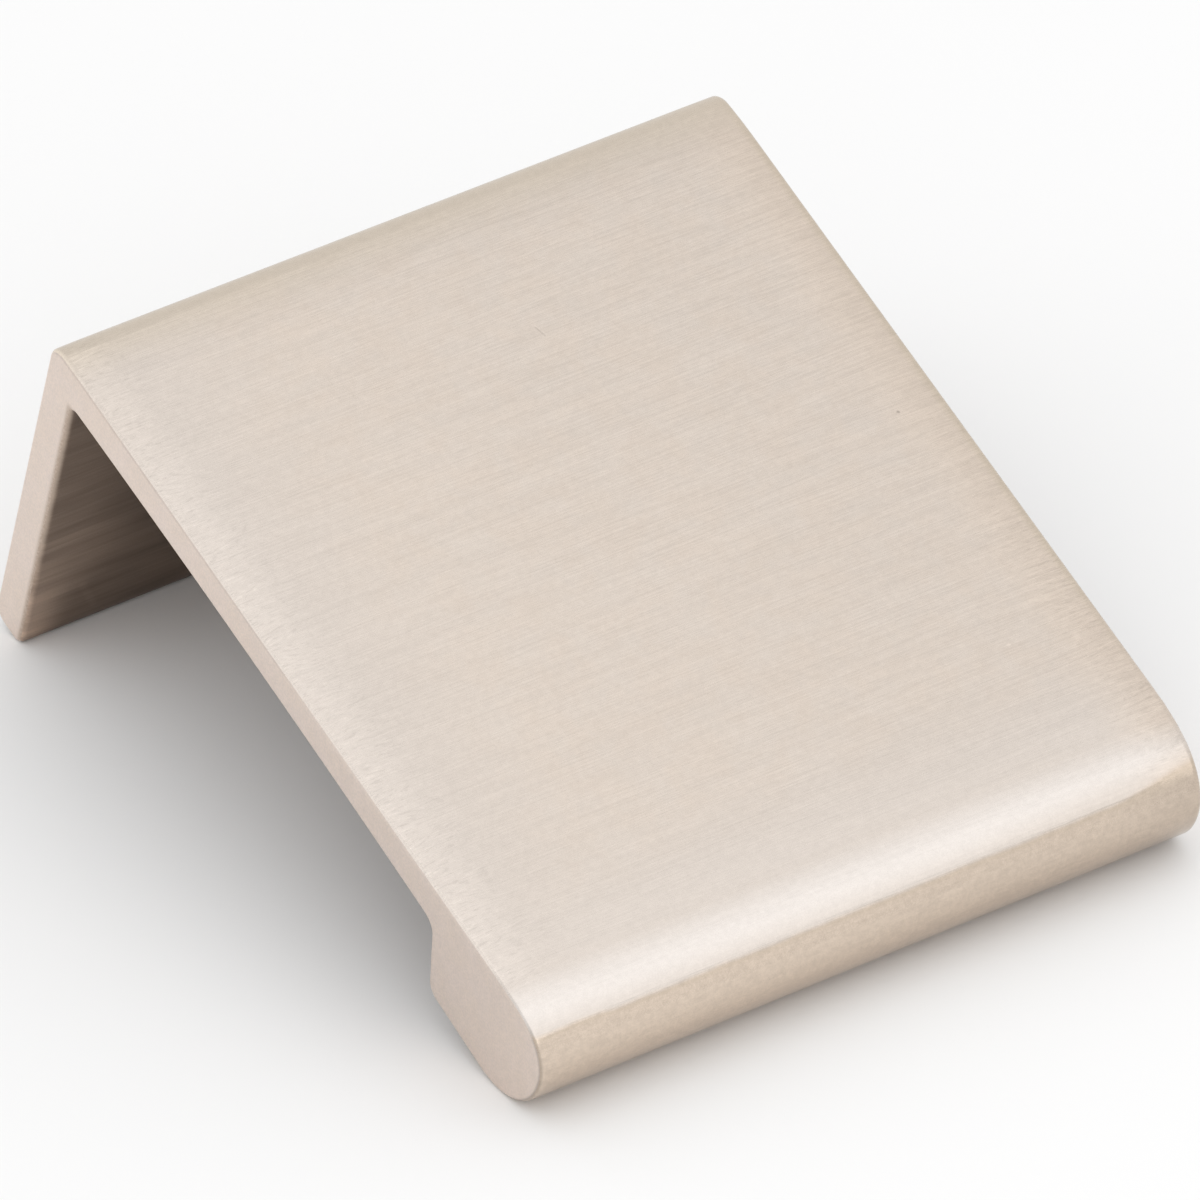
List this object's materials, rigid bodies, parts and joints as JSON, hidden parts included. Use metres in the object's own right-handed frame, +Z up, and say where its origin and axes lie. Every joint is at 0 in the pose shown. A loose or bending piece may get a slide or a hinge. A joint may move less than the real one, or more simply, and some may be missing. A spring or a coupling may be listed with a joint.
{
  "type": "tab pull",
  "caption": "Tab pull with a flat plate, a drilled flange that screws behind a drawer front, and a thick rounded finger bead along its front edge, in brushed satin nickel.",
  "frame": {"origin": "middle of the two screw holes, on the flange's seat, the face that lies against the back of a drawer front", "axes": "as fitted: +X along the width, -Y to the front, where the bead is gripped, and +Z up, with the plate level"},
  "size_m": [0.0382, 0.0464, 0.0217],
  "materials": {
    "brushed_nickel": "satin, brushed along the width"
  },
  "bodies": {
    "root": {"tab_pull": "brushed_nickel"}
  },
  "joints": []
}
